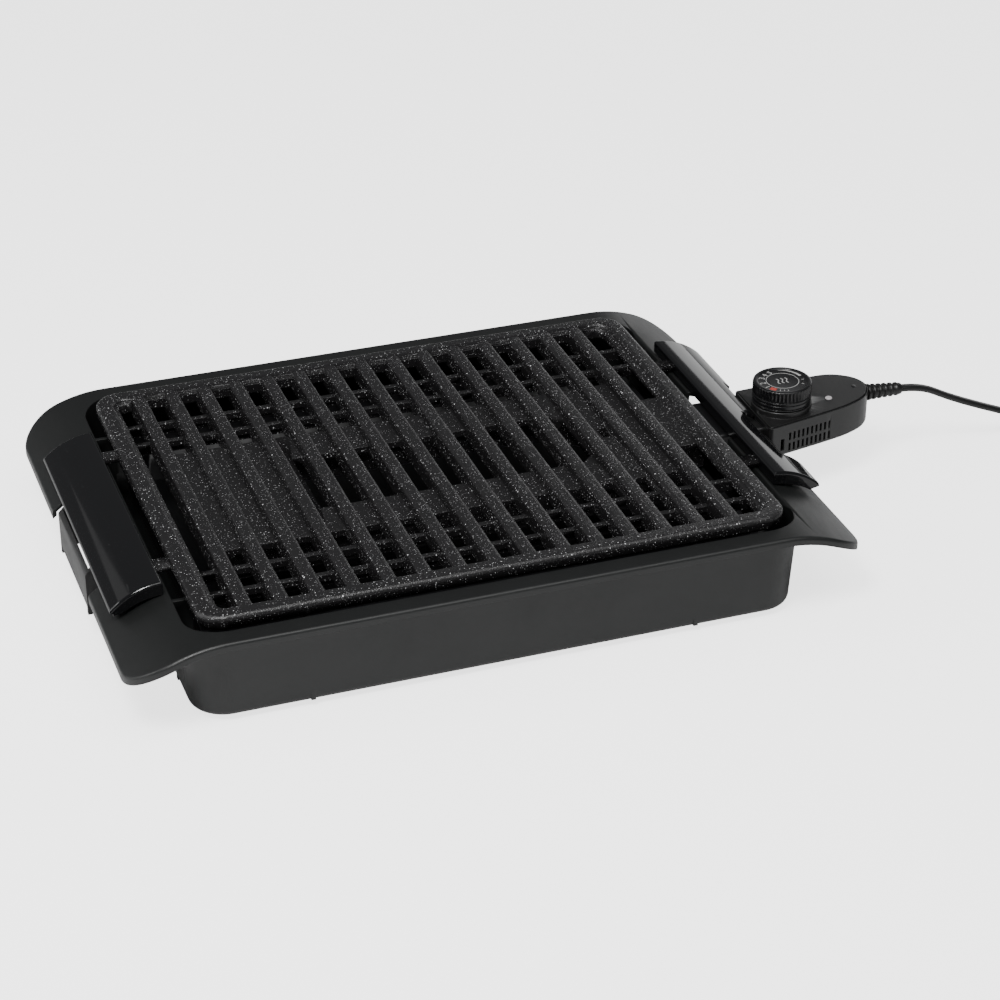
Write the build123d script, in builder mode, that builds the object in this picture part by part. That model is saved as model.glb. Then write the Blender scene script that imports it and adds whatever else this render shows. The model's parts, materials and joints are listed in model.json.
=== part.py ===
# Open-slot electric table grill: base tub, drip tray, cast plate, plug-in thermostat and lead.
# Millimetres. The table is z = 0, +X points to the thermostat side and +Y to the back.
from build123d import *
from math import cos, pi, radians, sin, sqrt, tan
import os

os.makedirs("parts", exist_ok=True)

# ---------------------------------------------------------------- driving dimensions
plate_length, plate_depth, plate_corner = 396, 316, 18
plate_top, rim_top = 74, 68
frame_width, frame_bottom = 12.5, 66
rib_pitch, rib_count, rib_shift = 23.4, 15, -2.7
pad_top, channel_bottom = 66.2, 48
element_diameter = 7.6
limb_inner, limb_outer = 35.5, 67.5      # the element's pad, each side of the middle

wing_half, rim_half, wing_corner = 248, 179, 29
wing_flat, wing_drop = 185, 24           # the rim stays level up to wing_flat, then droops
sheet, rim_edge, wall = 2.8, 5.5, 2.8
opening_x, opening_y, opening_corner = 206, 164.4, 25
tub_taper, tub_floor, foot_height = 3.6, 4, 4

cover_inner, cover_outer, cover_half = 209, 243.5, 105.3
cover_crest, cover_crest_x, cover_radius = 74.3, 207.7, 50.7
cover_wall, cover_depth = 2.5, 9
grip_half, grip_bottom = 43, 26

pin_z, pin_spacing, pin_diameter = 54, 28.6, 6
rod_diameter, rod_tip = 6, 160
probe_inner, probe_bottom, probe_split, probe_top = 240.5, 39.5, 52, 64
knob_x, knob_radius, knob_bottom, knob_top = 262.9, 21, 68.6, 84
relief_inner, relief_y, relief_z, relief_droop = 322, 9, 57.9, 3

cord_width = 6.8
coil_x, coil_y, coil_radius, coil_turns = 535, -15, 40, 2.5

wing_radius = ((wing_half - wing_flat) ** 2 + wing_drop**2) / (2 * wing_drop)


def wing_height(x):
    """Height of the rim's top surface at a distance x from the middle."""
    run = max(0, abs(x) - wing_flat)
    return rim_top - wing_radius + sqrt(wing_radius**2 - run**2)


def cover_height(x):
    """Height of a handle cover's top surface at a distance x from the middle."""
    return cover_crest - cover_radius + sqrt(cover_radius**2 - (abs(x) - cover_crest_x) ** 2)


def droop_band(top_shift, bottom_shift, reach):
    """Adds to the sketch in hand a band that follows the rim from end to end."""

    stations = (wing_flat, (wing_flat + reach) / 2, reach)
    with BuildLine() as band:
        for shift in (top_shift, bottom_shift):
            Line((-wing_flat, rim_top + shift), (wing_flat, rim_top + shift))
            for side in (-1, 1):
                ThreePointArc(*[(side * x, wing_height(x) + shift) for x in stations])
        for side in (-1, 1):
            tip = wing_height(reach)
            Line((side * reach, tip + top_shift), (side * reach, tip + bottom_shift))
    make_face(band.edges())


def cover_band(side, near, far, top_shift, bottom_shift):
    """Adds to the sketch in hand a band that follows a handle cover's top."""
    with BuildLine() as band:
        for shift in (top_shift, bottom_shift):
            ThreePointArc(*[(side * x, cover_height(x) + shift) for x in (near, (near + far) / 2, far)])
        for x in (near, far):
            Line((side * x, cover_height(x) + top_shift), (side * x, cover_height(x) + bottom_shift))
    make_face(band.edges())


# ---------------------------------------------------------------- base
with BuildPart() as wing_hollow:  # the space under the rim, inside its turned-down edge
    with BuildSketch(Plane.XZ):
        droop_band(-sheet, -rim_edge - 5, wing_half - sheet)
    extrude(amount=rim_half, both=True)
    with BuildSketch():
        RectangleRounded(2 * (wing_half - sheet), 2 * (rim_half - sheet), wing_corner - sheet)
    extrude(amount=rim_top, mode=Mode.INTERSECT)

with BuildPart() as tub_block:  # the tub's outside, cut off along the rim's top surface
    with BuildSketch(Plane(origin=(0, 0, rim_top), z_dir=(0, 0, -1))):
        RectangleRounded(2 * (opening_x + wall), 2 * (opening_y + wall), opening_corner + wall)
    extrude(amount=rim_top - tub_floor, taper=tub_taper)
    fillet(tub_block.edges().group_by(Axis.Z)[0], radius=5)
    with BuildSketch(Plane.XZ):
        droop_band(0, -rim_top, wing_half)
    extrude(amount=rim_half, both=True, mode=Mode.INTERSECT)

with BuildPart() as base_shell:
    with BuildSketch(Plane.XZ):
        droop_band(0, -rim_edge, wing_half)
    extrude(amount=rim_half, both=True)
    with BuildSketch():
        RectangleRounded(2 * wing_half, 2 * rim_half, wing_corner)
    extrude(amount=rim_top, mode=Mode.INTERSECT)
    upper_outline = [
        edge
        for edge in base_shell.edges()
        if abs((edge @ 0.5).Z - wing_height((edge @ 0.5).X)) < 0.01
        and (abs((edge @ 0.5).Y) > 1 or abs((edge @ 0.5).X) > wing_flat + 1)
    ]
    fillet(upper_outline, radius=2.4)
    add(wing_hollow.part, mode=Mode.SUBTRACT)
    add(tub_block.part)
    with BuildSketch(Plane(origin=(0, 0, rim_top + 1), z_dir=(0, 0, -1))):
        RectangleRounded(2 * opening_x, 2 * opening_y, opening_corner)
    extrude(amount=rim_top + 1 - tub_floor - wall, taper=tub_taper, mode=Mode.SUBTRACT)
    with Locations(*[(x, y, tub_floor) for x in (-160, 160) for y in (-120, 120)]):
        Cylinder(3, wall, align=(Align.CENTER, Align.CENTER, Align.MIN), mode=Mode.SUBTRACT)
    # upright ribs inside the wall, on which the cast plate's frame stands
    with Locations(*[(side * 199, y, 34.5) for side in (-1, 1) for y in (-112, 112)]):
        Box(12.5, 3, 58.4)
    with Locations(*[(x, side * 157.5, 34.5) for side in (-1, 1) for x in (-130, 130)]):
        Box(3, 12.5, 58.4)
    # gussets under the drooping ends
    for side in (-1, 1):
        for y in (-135, -85, 85, 135):
            with BuildSketch(Plane.XZ.offset(-y)):
                with BuildLine():
                    Polyline(
                        *[(side * x, z) for x, z in ((206.5, 44), (206.5, 63), (222, 58.8), (238, 49.5))],
                        close=True,
                    )
                make_face()
            extrude(amount=1.2, both=True)
    # finger room under each handle, and the way in for the thermostat's nose
    with Locations((-235, 0, 48), (235, 0, 48)):
        Box(38, 114, 50, mode=Mode.SUBTRACT)
    with Locations((211, 0, 56)):
        Box(16, 74, 30, mode=Mode.SUBTRACT)
base_shell.part.label = "base_shell"
export_step(base_shell.part, "parts/base_shell.step")

with BuildPart() as rubber_feet:
    with Locations(*[(x, y, 0) for x in (-160, 160) for y in (-120, 120)]):
        Cylinder(9, foot_height, align=(Align.CENTER, Align.CENTER, Align.MIN))
        with Locations((0, 0, foot_height)):
            Cylinder(3, wall, align=(Align.CENTER, Align.CENTER, Align.MIN))
    fillet(rubber_feet.edges().group_by(Axis.Z)[0], radius=1)
rubber_feet.part.label = "rubber_feet"
export_step(rubber_feet.part, "parts/rubber_feet.step")

# ---------------------------------------------------------------- drip tray
tray_x, tray_y, tray_top, tray_sheet, tray_gap = 186, 144, 44, 1.2, 0.3
tray_bottom = tub_floor + wall + tray_gap
with BuildPart() as drip_tray:
    with BuildSketch(Plane(origin=(0, 0, tray_top), z_dir=(0, 0, -1))):
        RectangleRounded(2 * tray_x, 2 * tray_y, 24)
    extrude(amount=tray_top - tray_bottom, taper=6)
    fillet(drip_tray.edges().group_by(Axis.Z)[0], radius=4)
    with BuildSketch(Plane(origin=(0, 0, tray_top), z_dir=(0, 0, -1))):
        RectangleRounded(2 * (tray_x - tray_sheet), 2 * (tray_y - tray_sheet), 24 - tray_sheet)
    extrude(amount=tray_top - tray_bottom - tray_sheet, taper=6, mode=Mode.SUBTRACT)
    with BuildSketch(Plane.XY.offset(tray_top - tray_sheet)):
        RectangleRounded(2 * (tray_x + 4), 2 * (tray_y + 4), 27)
        RectangleRounded(2 * (tray_x - tray_sheet), 2 * (tray_y - tray_sheet), 22.8, mode=Mode.SUBTRACT)
    extrude(amount=tray_sheet)
drip_tray.part.label = "drip_tray"
export_step(drip_tray.part, "parts/drip_tray.step")

# ---------------------------------------------------------------- cast plate
pad_left, pad_right, terminal_right, terminal_half = -165, 165, 189, 36
window_left, window_right, window_cut = -86, 120, 20
rib_foot, rib_top, cavity_top, channel_wall, cover_sheet = 61.5, 73.6, 62, 3, 1
bead_radius = 5
lug_y, lug_bottom, lug_height, lug_end = 75, 66.9, 3, 218
lug_hole_x, lug_hole = 214.6, 1.7
boss_y, boss_radius, thread_radius = 62, 3.5, 1.5
boss_places = [(x, side * boss_y) for x in (-120, 0, 110) for side in (-1, 1)]


def pad_outline(shrink=0):
    """Adds the outline of the pad over the heating element to the sketch in hand."""
    left, right, end = pad_left + shrink, pad_right - shrink, terminal_right - shrink
    wide, narrow = limb_outer - shrink, terminal_half - shrink
    half = [(end, narrow), (right, narrow), (right, wide), (left, wide)]
    with BuildLine() as outline:
        Polyline(*half, *[(x, -y) for x, y in reversed(half)], close=True)
    make_face(outline.edges())


def pad_openings(grow=0):
    """Cuts from the sketch in hand the window between the element's limbs and the small drain slot."""
    left, right, side, cut = window_left - grow, window_right + grow, limb_inner + grow, window_cut
    half = [(right, side - cut), (right - cut, side), (left, side)]
    with BuildLine() as outline:
        Polyline(*half, *[(x, -y) for x, y in reversed(half)], close=True)
    make_face(outline.edges(), mode=Mode.SUBTRACT)
    with Locations((129, 0)):
        Rectangle(8 + 2 * grow, 13 + 2 * grow, mode=Mode.SUBTRACT)


with BuildPart() as grill_plate:
    with BuildSketch(Plane.XY.offset(frame_bottom)):
        RectangleRounded(plate_length, plate_depth, plate_corner)
        RectangleRounded(plate_length - 2 * frame_width, plate_depth - 2 * frame_width, 8, mode=Mode.SUBTRACT)
    extrude(amount=plate_top - frame_bottom)
    fillet(grill_plate.edges().group_by(Axis.Z)[-1], radius=3.4)
    with BuildSketch(Plane.XY.offset(frame_bottom - 2.2)):  # inset skirt outside, narrow ledge inside
        RectangleRounded(plate_length - 4, plate_depth - 4, plate_corner - 2)
        RectangleRounded(plate_length - 2 * frame_width - 5, plate_depth - 2 * frame_width - 5, 6, mode=Mode.SUBTRACT)
    extrude(amount=7)
    with BuildSketch(Plane.XZ) as rib_profiles:
        with Locations(*[(rib_shift + (k - rib_count // 2) * rib_pitch, rib_foot) for k in range(rib_count)]):
            Trapezoid(12.4, rib_top - rib_foot, 83, align=(Align.CENTER, Align.MIN))
        fillet(rib_profiles.vertices().group_by(Axis.Y)[-1], radius=3)
    extrude(amount=plate_depth / 2 - 9, both=True)
    with Locations(*[(0, side * y, 62.2) for side in (-1, 1) for y in (90, 116)]):
        Box(plate_length - 2 * frame_width + 5, 4, 8)
    with BuildSketch(Plane.XY.offset(channel_bottom)):
        pad_outline()
        pad_openings()
    extrude(amount=pad_top - channel_bottom)
    with BuildSketch(Plane.XY.offset(channel_bottom)):  # the channel that holds the element, open below
        pad_outline(channel_wall)
        pad_openings(channel_wall)
    extrude(amount=cavity_top - channel_bottom, mode=Mode.SUBTRACT)
    with Locations(*[(x, y, channel_bottom) for x, y in boss_places]):
        Cylinder(boss_radius, cavity_top - channel_bottom + 1, align=(Align.CENTER, Align.CENTER, Align.MIN))
    with Locations(*[(x, y, channel_bottom) for x, y in boss_places]):
        Cylinder(thread_radius, 9, align=(Align.CENTER, Align.CENTER, Align.MIN), mode=Mode.SUBTRACT)
    with Locations((170, 0, 57.5)):  # boss round the thermostat rod's sleeve
        Box(34, 14, 10)
    with Locations((terminal_right - 40, 0, pin_z)):
        Cylinder(4.5, 80, rotation=(0, 90, 0), align=(Align.CENTER, Align.CENTER, Align.MIN), mode=Mode.SUBTRACT)
    for y in (-pin_spacing / 2, pin_spacing / 2):
        with Locations((terminal_right - channel_wall - 1, y, pin_z)):
            Cylinder(bead_radius, 20, rotation=(0, 90, 0), align=(Align.CENTER, Align.CENTER, Align.MIN), mode=Mode.SUBTRACT)
    for side in (-1, 1):
        for y in (-lug_y, lug_y):
            with Locations((side * (lug_end + 194) / 2, y, lug_bottom + lug_height / 2)):
                Box(lug_end - 194, 12, lug_height)
            with Locations((side * lug_hole_x, y, lug_bottom)):
                Cylinder(lug_hole, 20, mode=Mode.SUBTRACT)
grill_plate.part.label = "grill_plate"
export_step(grill_plate.part, "parts/grill_plate.step")

element_turn, element_near, element_y = 18, pin_spacing / 2, (limb_inner + limb_outer) / 2
with BuildPart() as heating_element:
    with BuildLine() as element_path:
        half = [(terminal_right - 4, element_near), (172, element_near), (140, element_y), (-146, element_y)]
        points = half + [(x, -y) for x, y in reversed(half)]
        FilletPolyline(*[(x, y, pin_z) for x, y in points], radius=element_turn)
    with BuildSketch(Plane(origin=element_path.line @ 0, z_dir=element_path.line % 0)):
        Circle(element_diameter / 2)
    sweep()
heating_element.part.label = "heating_element"
export_step(heating_element.part, "parts/heating_element.step")

with BuildPart() as element_cover:
    with BuildSketch(Plane.XY.offset(channel_bottom - cover_sheet)):
        pad_outline(0.5)
        pad_openings(0.5)
        with Locations(*boss_places):
            Circle(thread_radius, mode=Mode.SUBTRACT)
    extrude(amount=cover_sheet)
element_cover.part.label = "element_cover"
export_step(element_cover.part, "parts/element_cover.step")

with BuildPart() as element_cover_screws:
    with Locations(*[(x, y, channel_bottom - cover_sheet) for x, y in boss_places]):
        Cylinder(thread_radius, 8, align=(Align.CENTER, Align.CENTER, Align.MIN))
        Cylinder(3, 1.8, align=(Align.CENTER, Align.CENTER, Align.MAX))
element_cover_screws.part.label = "element_cover_screws"
export_step(element_cover_screws.part, "parts/element_cover_screws.step")

# ---------------------------------------------------------------- terminals of the cast plate
pin_start, pin_end, bead_end, guard_end = terminal_right - 4, 222, 196, 226
pin_sides = [-pin_spacing / 2, pin_spacing / 2]
along_x = Plane(origin=(0, 0, 0), x_dir=(0, 1, 0), z_dir=(1, 0, 0))
with BuildPart() as terminal_pins:
    with BuildSketch(along_x.offset(pin_start)):
        with Locations(*[(y, pin_z) for y in pin_sides]):
            Circle(pin_diameter / 2)
    extrude(amount=pin_end - pin_start)
    chamfer(terminal_pins.edges().group_by(Axis.X)[-1], length=1)
terminal_pins.part.label = "terminal_pins"
export_step(terminal_pins.part, "parts/terminal_pins.step")

with BuildPart() as terminal_insulators:
    with BuildSketch(along_x.offset(pin_start)):
        with Locations(*[(y, pin_z) for y in pin_sides]):
            Circle(bead_radius)
            Circle(pin_diameter / 2, mode=Mode.SUBTRACT)
    extrude(amount=bead_end - pin_start)
terminal_insulators.part.label = "terminal_insulators"
export_step(terminal_insulators.part, "parts/terminal_insulators.step")

sleeve_inner, sleeve_end = rod_diameter / 2 + 0.08, 198
with BuildPart() as sensor_sleeve:  # blind tube in the casting, which the thermostat's rod slides into
    with BuildSketch(along_x.offset(terminal_right - 40)):
        with Locations((0, pin_z)):
            Circle(4.5)
    extrude(amount=sleeve_end - terminal_right + 40)
    with BuildSketch(along_x.offset(rod_tip - 2)):
        with Locations((0, pin_z)):
            Circle(sleeve_inner)
    extrude(amount=sleeve_end - rod_tip + 2, mode=Mode.SUBTRACT)
sensor_sleeve.part.label = "sensor_sleeve"
export_step(sensor_sleeve.part, "parts/sensor_sleeve.step")

guard_half_y, guard_low, guard_high, guard_sheet = 26, 46.5, 63, 1
guard_middle = (guard_low + guard_high) / 2
with BuildPart() as terminal_guard:  # open box of sheet steel round the live pins
    with BuildSketch(along_x.offset(terminal_right)):
        with Locations((0, guard_middle)):
            RectangleRounded(2 * guard_half_y, guard_high - guard_low, 3)
    extrude(amount=guard_end - terminal_right)
    with BuildSketch(along_x.offset(terminal_right + guard_sheet)):
        with Locations((0, guard_middle)):
            RectangleRounded(2 * (guard_half_y - guard_sheet), guard_high - guard_low - 2 * guard_sheet, 2)
    extrude(amount=guard_end, mode=Mode.SUBTRACT)
    with BuildSketch(along_x.offset(terminal_right)):
        with Locations(*[(y, pin_z) for y in pin_sides]):
            Circle(bead_radius)
        with Locations((0, pin_z)):
            Circle(4.5)
    extrude(amount=5, mode=Mode.SUBTRACT)
terminal_guard.part.label = "terminal_guard"
export_step(terminal_guard.part, "parts/terminal_guard.step")

# ---------------------------------------------------------------- handles on the cast plate
grip_outer, fascia_inner, fascia_outer, grip_wall = 246.5, 236.5, 239.5, 3
band_high, band_low, body_near, body_far = -5.6, -8.6, 211.7, 240.8
cover_screw_x, cover_screw_y = 226, (40, 92)
notch_near, notch_far = 227, 237.8


def make_cover(side):
    """Glossy curved cap of a handle. Its right-hand copy has the cut-out for the thermostat."""
    with BuildPart() as cover:
        with BuildSketch(Plane.XZ):
            with BuildLine():
                near, middle, far = [(side * x, cover_height(x)) for x in (cover_inner, 226, cover_outer)]
                low_near = (side * cover_inner, cover_crest - cover_depth)
                low_middle = (side * 224, cover_height(224) - cover_depth)
                low_far = (side * (cover_outer - 7), cover_height(cover_outer - 7) - cover_depth)
                tip = (side * cover_outer, cover_height(cover_outer) - 1.6)
                ThreePointArc(near, middle, far)
                Line(far, tip)
                Line(tip, low_far)
                ThreePointArc(low_far, low_middle, low_near)
                Line(low_near, near)
            make_face()
        extrude(amount=cover_half, both=True)
        crest = [e for e in cover.edges().filter_by(Axis.Y) if (e @ 0.5).Z > cover_crest - 1]
        top_ends = [e for e in cover.edges().filter_by(GeomType.CIRCLE) if (e @ 0.5).Z > cover_height(226) - 1]
        fillet(crest + top_ends, radius=2)
        with BuildSketch(Plane.XZ):
            cover_band(side, cover_inner + cover_wall, cover_outer - 1.8, -cover_wall, -cover_wall - 12)
        extrude(amount=cover_half - cover_wall, both=True, mode=Mode.SUBTRACT)
        with Locations(*[(side * (cover_inner + 1), y, lug_bottom + 1.5) for y in (-lug_y, lug_y)]):
            Box(6, 12.8, 4, mode=Mode.SUBTRACT)
        bosses = [(lug_hole_x, y, lug_bottom + lug_height) for y in (-lug_y, lug_y)]
        bosses += [(cover_screw_x, s * y, cover_height(cover_screw_x) + band_high) for s in (-1, 1) for y in cover_screw_y]
        for x, y, z in bosses:
            with BuildSketch(Plane.XY.offset(z)):
                with Locations((side * x, y)):
                    Circle(4 if x == lug_hole_x else 3.5)
            extrude(amount=cover_height(x) - z - 1)
            with BuildSketch(Plane.XY.offset(z)):
                with Locations((side * x, y)):
                    Circle(1.5)
            extrude(amount=cover_height(x) - z - 1, mode=Mode.SUBTRACT)
        if side > 0:
            for near, low_y, high_y in ((notch_near, -75, -10), (notch_far, -11, 46)):
                with Locations(((near + 260) / 2, (low_y + high_y) / 2, 60)):
                    Box(260 - near, high_y - low_y, 40, mode=Mode.SUBTRACT)
    return cover.part


def make_handle_body(side):
    """Matt inner half of a handle: a curved plate under the cap and a grip that hangs below it."""
    if side < 0:
        grip_near, grip_face, top = 224, grip_outer, 56
    else:
        grip_near, grip_face, top = 222, fascia_outer, 59.8
    with BuildPart() as body:
        with BuildSketch(Plane.XZ):
            cover_band(side, body_near, body_far if side < 0 else fascia_inner + 1, band_high, band_low)
        extrude(amount=cover_half - 3, both=True)
        with Locations(*[(side * body_near, y, 66) for y in (-lug_y, lug_y)]):
            Box(14, 13, 20, mode=Mode.SUBTRACT)
        with BuildSketch(Plane.XY.offset(grip_bottom)):
            with Locations((side * (grip_near + grip_face) / 2, 0)):
                Rectangle(grip_face - grip_near, 2 * grip_half)
            with Locations((side * ((grip_near + grip_face) / 2 - grip_wall), 0)):
                Rectangle(grip_face - grip_near, 2 * (grip_half - grip_wall), mode=Mode.SUBTRACT)
        extrude(amount=top - grip_bottom)
        if side < 0:  # the grip's front and back corners run down as small hooks
            with Locations(*[(side * (grip_face - 1.5), y, grip_bottom - 2) for y in (1.5 - grip_half, grip_half - 1.5)]):
                Box(3, 3, 6)
        with BuildSketch(Plane.XZ):  # trims whatever stands above the curved plate
            cover_band(side, cover_inner - 4, cover_outer + 6, band_high + 20, band_high)
        extrude(amount=cover_half, both=True, mode=Mode.SUBTRACT)
        spot = [(side * cover_screw_x, s * y) for s in (-1, 1) for y in cover_screw_y]
        middle = cover_height(cover_screw_x)
        for radius, low, high in ((1.5, -20, 5), (3.7, band_high, 5), (3, -20, band_low)):
            with BuildSketch(Plane.XY.offset(middle + low)):  # screw hole, flat seat above, counterbore below
                with Locations(*spot):
                    Circle(radius)
            extrude(amount=high - low, mode=Mode.SUBTRACT)
        if side > 0:  # window for the nose of the thermostat
            with Locations((228, 0, 56)):
                Box(36, 56, 23, mode=Mode.SUBTRACT)
    return body.part


for side, word in ((-1, "left"), (1, "right")):
    cover = make_cover(side)
    cover.label = f"{word}_handle_cover"
    export_step(cover, f"parts/{word}_handle_cover.step")
    body = make_handle_body(side)
    body.label = f"{word}_handle_body"
    export_step(body, f"parts/{word}_handle_body.step")

with BuildPart() as handle_screws:  # up through the plate's lugs into the caps
    with Locations(*[(side * lug_hole_x, y, lug_bottom) for side in (-1, 1) for y in (-lug_y, lug_y)]):
        Cylinder(1.5, 5, align=(Align.CENTER, Align.CENTER, Align.MIN))
        Cylinder(2.7, 1.6, align=(Align.CENTER, Align.CENTER, Align.MAX))
handle_screws.part.label = "handle_screws"
export_step(handle_screws.part, "parts/handle_screws.step")

with BuildPart() as cover_screws:  # up through the handle bodies into the caps
    screw_base = cover_height(cover_screw_x) + band_low
    places = [(x, s * y, screw_base) for x in (-226, 226) for s in (-1, 1) for y in cover_screw_y]
    with Locations(*places):
        Cylinder(1.5, 5.5, align=(Align.CENTER, Align.CENTER, Align.MIN))
        Cylinder(2.8, 1.5, align=(Align.CENTER, Align.CENTER, Align.MAX))
cover_screws.part.label = "cover_screws"
export_step(cover_screws.part, "parts/cover_screws.step")

# ---------------------------------------------------------------- plug-in thermostat
nose_start, nose_end, nose_half, nose_low, nose_high = 203, 253, 20, 48.5, 59.5
shell_wall, collar_radius, collar_top = 2, 23, 68.3
casing_rim, lid_seat = 63.6, 62
lamp_x, lamp_y = 299, -2
casing_screws = [(250, 25.5), (249.5, -24.2), (318, 12)]


def casing_outline():
    """Adds to the sketch in hand the plan of the thermostat's casing, drawn out towards the lead."""
    square = [(probe_inner, -31), (probe_inner, 31)]
    curved = [(301, 34.2), (317.3, 33.8), (331.8, 22.5), (335.3, 7.8), (326.5, -7.8), (308, -16.5), (285, -22)]
    with BuildLine() as outline:
        FilletPolyline(*square, *curved, radius=[3, 3, 100, 28, 20, 18, 30, 80, 500], close=True)
    make_face(outline.edges())


def cut_passages():
    """Cuts from the part in hand the way in for the nose, the way out for the lead and the screw holes."""
    with Locations(((nose_start + nose_end) / 2, 0, (nose_low + nose_high) / 2)):
        Box(nose_end - nose_start, 2 * nose_half, nose_high - nose_low, mode=Mode.SUBTRACT)
    with Locations((330, relief_y, relief_z - 0.45)):
        Cylinder(4.1, 16, rotation=(0, 90, 0), mode=Mode.SUBTRACT)
    with Locations(*[(x, y, probe_bottom) for x, y in casing_screws]):
        Cylinder(1.3, 17.5, align=(Align.CENTER, Align.CENTER, Align.MIN), mode=Mode.SUBTRACT)


with BuildPart() as probe_lower_shell:
    with BuildSketch(Plane.XY.offset(probe_bottom)):
        casing_outline()
    extrude(amount=casing_rim - probe_bottom)
    fillet(probe_lower_shell.edges().group_by(Axis.Z)[0], radius=2.2)
    fillet(probe_lower_shell.edges().group_by(Axis.Z)[-1], radius=0.3)
    for floor, inset in ((probe_bottom + shell_wall, shell_wall), (lid_seat, 0.9)):
        with BuildSketch(Plane.XY.offset(floor)):  # the hollow, then the seat for the lid inside the rim
            casing_outline()
            offset(amount=-inset, mode=Mode.REPLACE)
        extrude(amount=casing_rim - floor, mode=Mode.SUBTRACT)
    with BuildSketch(Plane.XY.offset(probe_bottom + shell_wall)):
        with Locations(*casing_screws):
            Circle(2.7)
    extrude(amount=probe_split - probe_bottom - shell_wall)
    cut_passages()
    for row in (0, 1):  # cooling slots through the front wall, and the one wide slot beside them
        with Locations(*[(257.5 + 3.9 * k, -26, 45.4 + 8.2 * row) for k in range(10)]):
            Box(1.7, 14, 6, rotation=(0, 0, 11.4), mode=Mode.SUBTRACT)
    with Locations((251.5, -28, 48.5)):
        Box(3, 14, 9, rotation=(0, 0, 11.4), mode=Mode.SUBTRACT)
probe_lower_shell.part.label = "probe_lower_shell"
export_step(probe_lower_shell.part, "parts/probe_lower_shell.step")

with BuildPart() as probe_upper_shell:  # the lid, set down inside the lower shell's rim
    with BuildSketch(Plane.XY.offset(lid_seat)):
        casing_outline()
        offset(amount=-1.3, mode=Mode.REPLACE)
    extrude(amount=probe_top - lid_seat)
    fillet(probe_upper_shell.edges().group_by(Axis.Z)[-1], radius=0.5)
    with Locations((knob_x, 0, probe_top - 1)):
        Cylinder(collar_radius - 1.5, collar_top - probe_top + 1, align=(Align.CENTER, Align.CENTER, Align.MIN))
    fillet(probe_upper_shell.edges().group_by(Axis.Z)[-1], radius=0.8)
    with Locations((knob_x, 0, probe_top - 7)):  # bush for the spindle, 0.05 mm clear of it all round
        Cylinder(5, 7, align=(Align.CENTER, Align.CENTER, Align.MIN))
    with Locations(*[(x, y, probe_split) for x, y in casing_screws]):
        Cylinder(2.7, lid_seat - probe_split + 0.5, align=(Align.CENTER, Align.CENTER, Align.MIN))
    with Locations((knob_x, 0, probe_top)):
        Cylinder(3.05, 30, mode=Mode.SUBTRACT)
    with Locations((lamp_x, lamp_y, probe_top)):
        Cylinder(2.5, 10, mode=Mode.SUBTRACT)
    cut_passages()
probe_upper_shell.part.label = "probe_upper_shell"
export_step(probe_upper_shell.part, "parts/probe_upper_shell.step")

with BuildPart() as contact_block:  # the nose, with a tunnel for each contact and one for the rod
    with BuildSketch(along_x.offset(nose_start)):
        with Locations((0, (nose_low + nose_high) / 2)):
            RectangleRounded(2 * nose_half, nose_high - nose_low, 2)
        with Locations(*[(y, pin_z) for y in pin_sides]):
            Circle(4.2, mode=Mode.SUBTRACT)
        with Locations((0, pin_z)):
            Circle(rod_diameter / 2, mode=Mode.SUBTRACT)
    extrude(amount=nose_end - nose_start)
    with BuildSketch(along_x.offset(nose_start)):  # room for the end of the rod's sleeve
        with Locations((0, pin_z)):
            Circle(4.9)
    extrude(amount=2, mode=Mode.SUBTRACT)
contact_block.part.label = "contact_block"
export_step(contact_block.part, "parts/contact_block.step")

with BuildPart() as female_contacts:
    with BuildSketch(along_x.offset(nose_start + 1)):
        with Locations(*[(y, pin_z) for y in pin_sides]):
            Circle(4.2)
            Circle(pin_diameter / 2 + 0.08, mode=Mode.SUBTRACT)
    extrude(amount=nose_end - nose_start - 4)
female_contacts.part.label = "female_contacts"
export_step(female_contacts.part, "parts/female_contacts.step")

rod_end, frame_low, frame_sheet = 257, 43.5, 1.2
with BuildPart() as sensor_rod:
    with BuildSketch(along_x.offset(rod_tip)):
        with Locations((0, pin_z)):
            Circle(rod_diameter / 2)
    extrude(amount=rod_end - rod_tip)
    fillet(sensor_rod.edges().group_by(Axis.X)[0], radius=2.4)
sensor_rod.part.label = "sensor_rod"
export_step(sensor_rod.part, "parts/sensor_rod.step")

with BuildPart() as thermostat_frame:  # bent strip that holds the rod and the switch stack
    with Locations((274, 0, frame_low + frame_sheet / 2)):
        Box(40, 20, frame_sheet)
    with Locations((nose_end + 1.6, 0, (frame_low + 59) / 2)):
        Box(frame_sheet, 20, 59 - frame_low)
    with BuildSketch(along_x.offset(nose_end)):
        with Locations((0, pin_z)):
            Circle(rod_diameter / 2)
    extrude(amount=6, mode=Mode.SUBTRACT)
    with Locations((286, 0, frame_low)):
        Cylinder(1.5, 10, mode=Mode.SUBTRACT)
thermostat_frame.part.label = "thermostat_frame"
export_step(thermostat_frame.part, "parts/thermostat_frame.step")

stack = [("bimetal_blade", 46.2, 0.5, 260), ("contact_leaf", 48.5, 0.3, 257)]
for name, level, thickness, start in stack:
    with BuildPart() as blade:
        with Locations(((start + 291) / 2, 0, level + thickness / 2)):
            Box(291 - start, 7, thickness)
        with Locations((286, 0, level)):
            Cylinder(1.5, 4, mode=Mode.SUBTRACT)
    blade.part.label = name
    export_step(blade.part, f"parts/{name}.step")

with BuildPart() as ceramic_spacers:
    for low, high in ((frame_low + frame_sheet, 46.2), (46.7, 48.5), (48.8, 51)):
        with BuildSketch(Plane.XY.offset(low)):
            with Locations((286, 0)):
                Circle(3.4)
                Circle(1.5, mode=Mode.SUBTRACT)
        extrude(amount=high - low)
ceramic_spacers.part.label = "ceramic_spacers"
export_step(ceramic_spacers.part, "parts/ceramic_spacers.step")

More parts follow.
